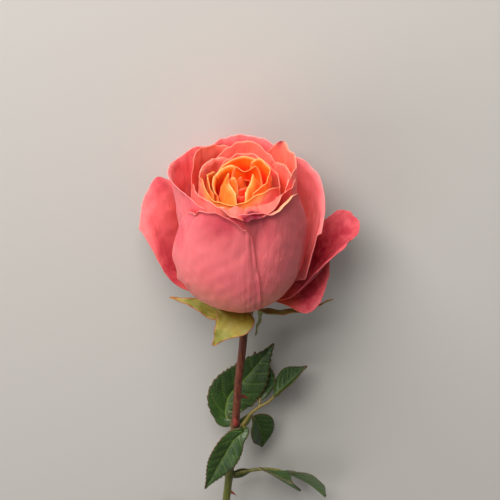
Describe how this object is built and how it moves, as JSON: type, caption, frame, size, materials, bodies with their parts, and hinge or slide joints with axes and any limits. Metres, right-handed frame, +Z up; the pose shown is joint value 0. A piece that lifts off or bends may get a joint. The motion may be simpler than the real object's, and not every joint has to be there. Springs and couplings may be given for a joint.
{
  "type": "cut garden rose stem",
  "caption": "Half-open garden rose on a prickly cut stem with compound leaves, lying on its back as it rests on a table.",
  "frame": {"origin": "middle of the bounding box's base, on the surface that the stem lies on", "axes": "+Y runs from the cut end towards the bloom, +Z is up, and the side that faces the viewer in the picture looks up"},
  "size_m": [0.1134, 0.2724, 0.062],
  "materials": {
    "outer_petal": "soft coral-pink petal with fine veins and a paler rim",
    "middle_petal": "soft warm pink petal with a thin cream rim",
    "heart_petal": "soft orange petal, deeper red-orange in the folds",
    "calyx_green": "matt yellow-green sepals with reddish edges",
    "stem_bark": "smooth red-brown rind that turns green lower down, red prickles",
    "leaf_green": "dark green leaf with sunken veins and a slight gloss"
  },
  "bodies": {
    "root": {"petal_guard_left": "outer_petal", "petal_guard_right": "outer_petal", "petal_guard_low": "outer_petal", "petal_guard_back_left": "outer_petal", "petal_guard_back_right": "outer_petal", "petal_cup_front": "outer_petal", "petal_cup_left": "outer_petal", "petal_cup_back": "outer_petal", "petal_cup_right": "outer_petal", "bloom_middle": "middle_petal", "bloom_heart": "heart_petal", "calyx": "calyx_green", "stem": "stem_bark", "leaf_1": "leaf_green", "leaf_2": "leaf_green", "leaf_3": "leaf_green"}
  },
  "joints": []
}
